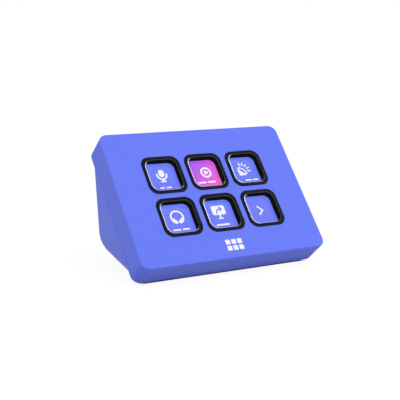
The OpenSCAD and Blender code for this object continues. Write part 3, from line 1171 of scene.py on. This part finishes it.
@dataclass
class Studio:
    """The camera, the lamps, the white surroundings and the floor."""

    azimuth: float = -30.0
    elevation: float = 10.0
    camera_place: Triple = (-0.18651, -0.32147, 0.09141)
    focal: float = 82.34
    sensor: float = 36.0
    clip: Pair = (0.01, 50.0)
    lamp_distance: float = 0.9
    lamp_aim: Triple = (0.0, 0.0, 0.03)
    lamps: tuple[Lamp, ...] = (
        Lamp("key_lamp", (0.1, -0.6, 0.8), (0.6, 0.6), 2.62, Lit.MATT),
        Lamp("glint_lamp", (0.735, 0.035, 0.68), (0.36, 0.34), 0.45, Lit.GLOSS),
        Lamp("edge_lamp", (0.853, -0.052, 0.519), (0.17, 0.16), 0.077, Lit.GLOSS),
        Lamp("corner_lamp", (0.755, -0.299, 0.584), (0.28, 0.26), 0.24, Lit.GLOSS),
        Lamp("low_lamp", (0.487, 0.095, 0.868), (0.23, 0.2), 0.05, Lit.GLOSS),
        Lamp("spot_lamp", (0.253, -0.099, 0.962), (0.14, 0.18), 0.04, Lit.GLOSS),
    )
    matt_level: float = 0.8
    mirrored_levels: Pair = (1.0, 0.1)
    mirrored_heights: Pair = (0.35, 0.5)
    floor_half: float = 3.0
    floor_level: float = -0.00003
    floor_albedo: float = 0.45
    floor_share: float = 0.78
    floor_strength: float = 1.18
    # Band under the front edge where the floor's glow is taken away, in metres: painted shade.
    painted_shade_front: Pair = (-0.0204, -0.0202)
    painted_shade_back: Pair = (-0.019, -0.014)
    painted_shade_end: Pair = (0.0365, 0.039)

    def build_camera(self) -> None:
        """Sets up a level camera whose view goes along the azimuth and elevation."""
        a, e = math.radians(self.azimuth), math.radians(self.elevation)
        back = Vector((math.sin(a) * math.cos(e), -math.cos(a) * math.cos(e), math.sin(e)))
        data = bpy.data.cameras.new("view")
        data.sensor_width = self.sensor
        data.lens = self.focal
        data.clip_start, data.clip_end = self.clip
        bpy.context.scene.camera = add_facing(data, Vector(self.camera_place), back)

    def build_lamp(self, lamp: Lamp) -> None:
        """Sets a lamp up so that it looks at the part.

        Args:
            lamp: the lamp.
        """
        data = bpy.data.lights.new(lamp.name, "AREA")
        data.shape = "RECTANGLE"
        data.size, data.size_y = lamp.size
        data.energy = lamp.power
        way = Vector(lamp.direction).normalized()
        piece = add_facing(data, Vector(self.lamp_aim) + way * self.lamp_distance, way)
        piece.visible_camera = piece.visible_transmission = False
        piece.visible_glossy = lamp.lit is Lit.GLOSS
        piece.visible_diffuse = lamp.lit is Lit.MATT

    def build_world(self) -> None:
        """White surroundings, dimmer for matt surfaces and darker overhead in mirrored light.

        The level seen in a mirror falls evenly between two heights of the direction's Z.
        """
        n = Nodes("surroundings", world=True)
        path = n.add("LightPath").outputs
        split = n.add("SeparateXYZ", {0: n.add("TexCoord").outputs["Generated"]})
        mirrored = n.ranged(split.outputs["Z"], *self.mirrored_levels, *self.mirrored_heights)
        level = n.between(path["Is Glossy Ray"], self.matt_level, mirrored)
        seen = n.combined("MAXIMUM", path["Is Camera Ray"], path["Is Transmission Ray"])
        bpy.context.scene.world = n.finish(n.add("Background", {
            "Color": (1, 1, 1, 1), "Strength": n.between(seen, level, 1.0)}))

    def floor_glow(self, n: Nodes) -> Socket:
        """Share of a brightness of its own that the floor has for the rays that see it.

        It fades to none in the gap under the front edge: 1 less the product of three ramps, past
        the gap's front, before its back, and within its ends. This band is painted shade: there
        only the matt floor shows, in the part's real shadow, so a dark line lies under the edge.

        Args:
            n: the floor's nodes.

        Returns:
            The share.
        """
        split = n.add("SeparateXYZ", {0: n.place()}).outputs
        across = n.add("Math", {0: split["X"]}, operation="ABSOLUTE").outputs[0]
        # Painted shade: a band under the front edge where the floor loses its glow and shows dark.
        gap = n.combined("MULTIPLY", n.ranged(split["Y"], 0, 1, *self.painted_shade_front),
                         n.ranged(split["Y"], 1, 0, *self.painted_shade_back),
                         n.ranged(across, 1, 0, *self.painted_shade_end))
        path = n.add("LightPath").outputs
        seen = n.combined("MAXIMUM", path["Is Camera Ray"], path["Is Glossy Ray"],
                          path["Is Transmission Ray"])
        return n.combined("MULTIPLY", seen, n.ranged(gap, self.floor_share, 0, 0, 1))

    def build_floor(self) -> None:
        """A pale floor that looks white and keeps a soft shadow.

        It lies a hair below the foot, so that the two never coincide, and doesn't show from
        below.
        """
        n = Nodes("pale_floor")
        matt = n.add("BsdfDiffuse", {"Color": (*[self.floor_albedo] * 3, 1)})
        white = n.add("Emission", {"Color": (1, 1, 1, 1), "Strength": self.floor_strength})
        # The glow share leaves painted shade in a band under the front edge.
        lit = n.blended(self.floor_glow(n), matt, white)
        below = n.add("NewGeometry").outputs["Backfacing"]
        material = n.finish(n.blended(below, lit, n.add("BsdfTransparent")))
        half = self.floor_half
        corners = [(x * half, y * half, self.floor_level)
                   for x, y in ((-1, -1), (1, -1), (1, 1), (-1, 1))]
        mesh = bpy.data.meshes.new("floor")
        mesh.from_pydata(corners, [], [(0, 1, 2, 3)])
        mesh.materials.append(material)
        floor = bpy.data.objects.new("floor", mesh)
        bpy.context.scene.collection.objects.link(floor)

    def build(self) -> None:
        """Sets up the studio."""
        bpy.context.scene.view_settings.view_transform = "Standard"
        self.build_camera()
        for lamp in self.lamps:
            self.build_lamp(lamp)
        self.build_world()
        self.build_floor()


def main() -> None:
    """Builds the keypad's looks."""
    logging.basicConfig(level=logging.INFO, format="%(message)s")
    Studio().build()
    Shells().build()
    for number in KEY_NUMBERS:
        PictureKey(number).build()
    InnerParts().build()


if __name__ == "__main__":
    main()
